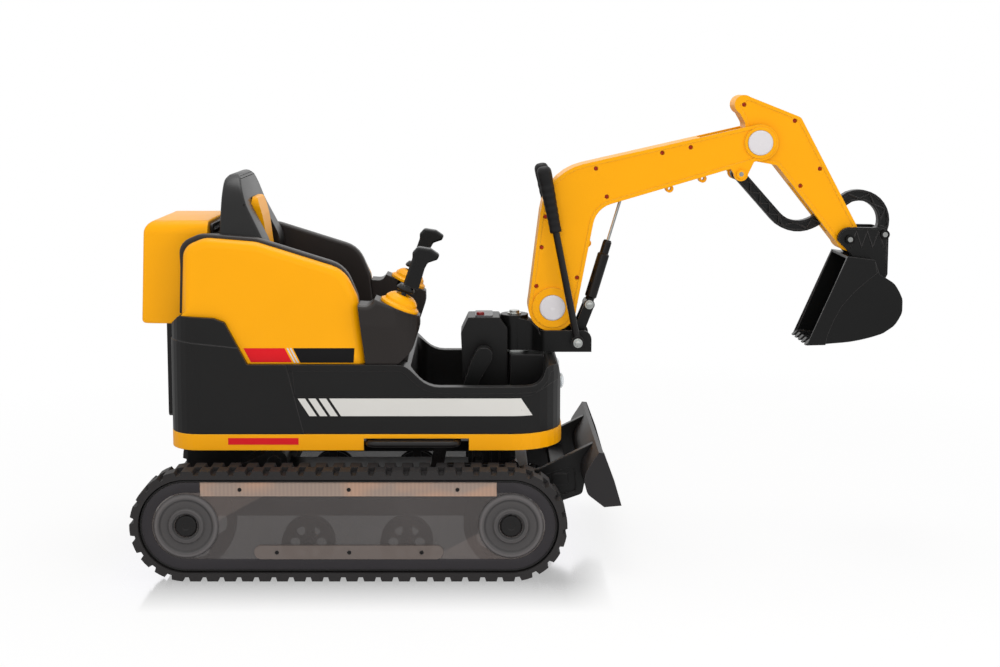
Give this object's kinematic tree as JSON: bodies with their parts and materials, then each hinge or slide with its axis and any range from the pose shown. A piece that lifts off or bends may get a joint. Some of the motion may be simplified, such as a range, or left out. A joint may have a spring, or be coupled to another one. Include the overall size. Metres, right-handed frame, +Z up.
{
  "type": "ride-on toy excavator",
  "caption": "Ride-on toy excavator on rubber tracks: yellow and black body with a seat and joysticks, a swinging digging arm with a linked bucket, and a dozer blade.",
  "frame": {"origin": "on the floor under the middle of the whole machine", "axes": "+X forward, towards the digging arm, +Y to the driver's left, +Z up"},
  "size_m": [1.4939, 0.56, 0.903],
  "materials": {
    "yellow_plastic": "moulded, light gloss",
    "black_plastic": "moulded, satin",
    "track_rubber": "matt",
    "grip_rubber": "matt, ribbed",
    "smoky_plastic": "smoky clear",
    "hub_plastic": "satin",
    "steel": "zinc plated",
    "battery_case": "satin",
    "panel_plastic": "silvery",
    "clear_plastic": "clear",
    "wheel_plastic": "satin",
    "cap_plastic": "glossy white",
    "black_metal": "black powder coat",
    "red_plastic": "glossy",
    "blade_plastic": "satin dark grey"
  },
  "bodies": {
    "machine": {"chassis_frame": "black_plastic", "track_frames": "black_plastic", "right_track_belt": "track_rubber", "left_track_belt": "track_rubber", "track_covers": "smoky_plastic", "hub_rings": "hub_plastic", "wheel_axles": "steel", "gearmotors": "black_plastic", "skirt": "yellow_plastic", "lower_body": "black_plastic", "rear_plate": "black_plastic", "battery": "battery_case", "side_panels": "yellow_plastic", "armrests": "black_plastic", "seat_shell": "black_plastic", "seat_back": "black_plastic", "seat_back_insert": "yellow_plastic", "rear_box": "yellow_plastic", "rear_grille": "black_plastic", "console_pods": "black_plastic", "console_domes": "yellow_plastic", "front_console": "black_plastic", "control_panel": "panel_plastic", "headlights": "clear_plastic", "king_post": "steel"},
    "right_drive": {"right_drive_wheel": "wheel_plastic"},
    "right_idler": {"right_idler_wheel": "wheel_plastic"},
    "right_rear_road": {"right_rear_road_wheel": "wheel_plastic"},
    "right_front_road": {"right_front_road_wheel": "wheel_plastic"},
    "left_drive": {"left_drive_wheel": "wheel_plastic"},
    "left_idler": {"left_idler_wheel": "wheel_plastic"},
    "left_rear_road": {"left_rear_road_wheel": "wheel_plastic"},
    "left_front_road": {"left_front_road_wheel": "wheel_plastic"},
    "swing": {"swing_bracket": "black_plastic"},
    "boom": {"boom_right_shell": "yellow_plastic", "boom_left_shell": "yellow_plastic", "pivot_caps": "cap_plastic", "boom_pins": "steel"},
    "stick": {"stick_right_shell": "yellow_plastic", "stick_left_shell": "yellow_plastic"},
    "bucket_body": {"bucket": "black_plastic", "bucket_bracket": "black_plastic", "bucket_pins": "steel"},
    "link": {"bucket_link": "black_plastic"},
    "strut_tube": {"strut_cylinder": "black_metal"},
    "strut_piston": {"strut_rod": "steel"},
    "boom_lever": {"right_lever": "black_metal", "right_grip": "grip_rubber"},
    "stick_lever": {"left_lever": "black_metal", "left_grip": "grip_rubber"},
    "right_stick": {"right_joystick": "black_plastic"},
    "left_stick": {"left_joystick": "black_plastic"},
    "pedal": {"drive_pedal": "black_plastic"},
    "button": {"power_button": "red_plastic"},
    "blade": {"dozer_blade": "blade_plastic", "blade_arms": "black_plastic"},
    "blade_slide": {"blade_handle": "black_metal", "blade_rod": "black_metal"}
  },
  "joints": [
    {"name": "right_drive_spin", "type": "hinge", "parent": "machine", "child": "right_drive", "pos_m": [-0.639, -0.248, 0.105], "axis": [0, 1, 0], "continuous": true},
    {"name": "right_idler_spin", "type": "hinge", "parent": "machine", "child": "right_idler", "pos_m": [-0.033, -0.248, 0.105], "axis": [0, 1, 0], "continuous": true},
    {"name": "right_rear_road_spin", "type": "hinge", "parent": "machine", "child": "right_rear_road", "pos_m": [-0.414, -0.248, 0.0658], "axis": [0, 1, 0], "continuous": true},
    {"name": "right_front_road_spin", "type": "hinge", "parent": "machine", "child": "right_front_road", "pos_m": [-0.229, -0.248, 0.0658], "axis": [0, 1, 0], "continuous": true},
    {"name": "left_drive_spin", "type": "hinge", "parent": "machine", "child": "left_drive", "pos_m": [-0.639, 0.248, 0.105], "axis": [0, 1, 0], "continuous": true},
    {"name": "left_idler_spin", "type": "hinge", "parent": "machine", "child": "left_idler", "pos_m": [-0.033, 0.248, 0.105], "axis": [0, 1, 0], "continuous": true},
    {"name": "left_rear_road_spin", "type": "hinge", "parent": "machine", "child": "left_rear_road", "pos_m": [-0.414, 0.248, 0.0658], "axis": [0, 1, 0], "continuous": true},
    {"name": "left_front_road_spin", "type": "hinge", "parent": "machine", "child": "left_front_road", "pos_m": [-0.229, 0.248, 0.0658], "axis": [0, 1, 0], "continuous": true},
    {"name": "boom_swing", "type": "hinge", "parent": "machine", "child": "swing", "pos_m": [-0.021, 0, 0.42], "axis": [0, 0, 1], "range_deg": [-35, 35]},
    {"name": "boom_lift", "type": "hinge", "parent": "swing", "child": "boom", "pos_m": [0.054, 0, 0.48], "axis": [0, -1, 0], "range_deg": [-30, 12]},
    {"name": "stick_swing", "type": "hinge", "parent": "boom", "child": "stick", "pos_m": [0.463, 0, 0.809], "axis": [0, -1, 0], "range_deg": [-4, 24]},
    {"name": "bucket_curl", "type": "hinge", "parent": "stick", "child": "bucket_body", "pos_m": [0.645, 0, 0.617], "axis": [0, -1, 0], "range_deg": [-6, 33]},
    {"name": "link_swing", "type": "hinge", "parent": "boom", "child": "link", "pos_m": [0.426, 0, 0.747], "axis": [0, -1, 0], "range_deg": [-5, 28]},
    {"name": "strut_tilt", "type": "hinge", "parent": "swing", "child": "strut_tube", "pos_m": [0.129, 0, 0.483], "axis": [0, -1, 0], "range_deg": [-35, 14]},
    {"name": "strut_stroke", "type": "slide", "parent": "strut_tube", "child": "strut_piston", "axis": [0.2847, 0, 0.9586], "range_m": [-0.034, 0.014]},
    {"name": "boom_lever_rock", "type": "hinge", "parent": "swing", "child": "boom_lever", "pos_m": [0.103, -0.0625, 0.414], "axis": [0, -1, 0], "range_deg": [-16, 7]},
    {"name": "stick_lever_rock", "type": "hinge", "parent": "swing", "child": "stick_lever", "pos_m": [0.103, 0.0625, 0.414], "axis": [0, -1, 0], "range_deg": [-20, 4]},
    {"name": "right_joystick_tilt", "type": "hinge", "parent": "machine", "child": "right_stick", "pos_m": [-0.24187, -0.174, 0.51036], "axis": [0, -1, 0], "range_deg": [-12, 12], "stiffness_Nm_per_rad": 5},
    {"name": "left_joystick_tilt", "type": "hinge", "parent": "machine", "child": "left_stick", "pos_m": [-0.24187, 0.174, 0.51036], "axis": [0, -1, 0], "range_deg": [-12, 12], "stiffness_Nm_per_rad": 5},
    {"name": "pedal_press", "type": "hinge", "parent": "machine", "child": "pedal", "pos_m": [-0.114, -0.085, 0.287], "axis": [0, 1, 0], "range_deg": [0, 8], "stiffness_Nm_per_rad": 2, "springref_deg": -3.44},
    {"name": "button_press", "type": "slide", "parent": "machine", "child": "button", "axis": [0, 0, -1], "range_m": [0, 0.0025], "stiffness_N_per_m": 400, "springref_m": -0.0015},
    {"name": "blade_handle_slide", "type": "slide", "parent": "machine", "child": "blade_slide", "axis": [1, 0, 0], "range_m": [0, 0.014]},
    {"name": "blade_tilt", "type": "hinge", "parent": "machine", "child": "blade", "pos_m": [-0.018, 0, 0.15], "axis": [0, 1, 0], "range_deg": [0, 24]}
  ],
  "couplings": [
    {"joint": "right_idler_spin", "follows": "right_drive_spin", "ratio": 1},
    {"joint": "right_rear_road_spin", "follows": "right_drive_spin", "ratio": 1.7919},
    {"joint": "right_front_road_spin", "follows": "right_drive_spin", "ratio": 1.7919},
    {"joint": "left_idler_spin", "follows": "left_drive_spin", "ratio": 1},
    {"joint": "left_rear_road_spin", "follows": "left_drive_spin", "ratio": 1.7919},
    {"joint": "left_front_road_spin", "follows": "left_drive_spin", "ratio": 1.7919},
    {"joint": "bucket_curl", "follows": "stick_swing", "ratio": 1.36},
    {"joint": "link_swing", "follows": "stick_swing", "ratio": 1.14},
    {"joint": "strut_tilt", "follows": "boom_lift", "ratio": 1.15},
    {"joint": "strut_stroke", "follows": "boom_lift", "m_per_rad": 0.0632},
    {"joint": "boom_lever_rock", "follows": "boom_lift", "ratio": 0.5},
    {"joint": "stick_lever_rock", "follows": "stick_swing", "ratio": -0.8},
    {"joint": "blade_tilt", "follows": "blade_handle_slide", "rad_per_m": 29.6}
  ]
}
